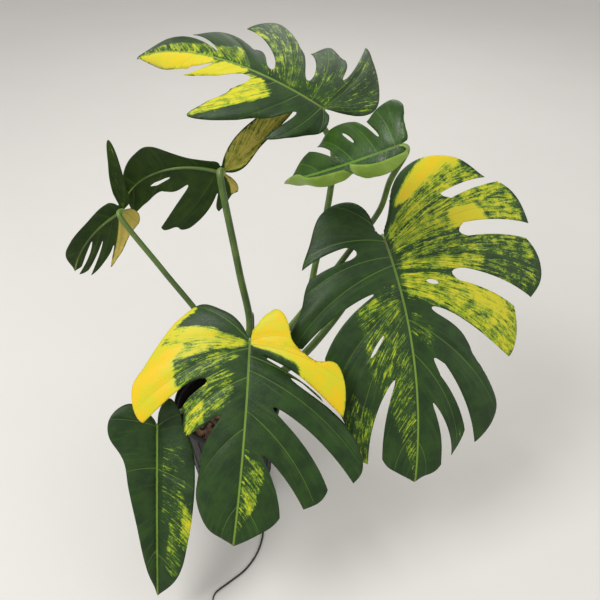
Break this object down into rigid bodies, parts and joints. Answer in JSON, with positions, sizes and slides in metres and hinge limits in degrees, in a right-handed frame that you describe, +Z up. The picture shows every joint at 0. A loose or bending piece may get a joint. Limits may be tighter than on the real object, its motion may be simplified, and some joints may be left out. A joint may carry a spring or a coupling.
{
  "type": "potted monstera plant",
  "caption": "Variegated split-leaf monstera in a tapered black plastic nursery pot, with leaves on long petioles and a loose root that lies beside the pot",
  "frame": {"origin": "centre of the pot's underside, on the surface it stands on", "axes": "+Z up; -Y towards the plant's front, +X to its right seen from the front"},
  "size_m": [0.7236, 0.5722, 0.7084],
  "materials": {
    "pot_plastic": "satin black plastic",
    "soil": "matt, dark compost with bark",
    "bark": "rough dry bark",
    "stem_green": "matt green stem",
    "petiole_green": "satin green",
    "leaf_green": "glossy deep green with yellow variegation",
    "leaf_young": "glossy bright green",
    "dry_sheath": "dry red-brown skin",
    "root": "matt dark brown"
  },
  "bodies": {
    "root": {"nursery_pot": "pot_plastic", "potting_soil": "soil", "bark_chip_1": "bark", "bark_chip_2": "bark", "bark_chip_3": "bark", "bark_chip_4": "bark", "bark_chip_5": "bark", "main_stem": "stem_green", "petiole_front": "petiole_green", "petiole_right": "petiole_green", "petiole_low_left": "petiole_green", "petiole_far_left": "petiole_green", "petiole_left": "petiole_green", "petiole_top": "petiole_green", "petiole_young": "petiole_green", "leaf_front": "leaf_green", "leaf_right": "leaf_green", "leaf_low_left": "leaf_green", "leaf_far_left": "leaf_green", "leaf_left": "leaf_green", "leaf_top": "leaf_green", "leaf_young": "leaf_young", "dry_sheath": "dry_sheath", "trailing_root": "root"}
  },
  "joints": []
}
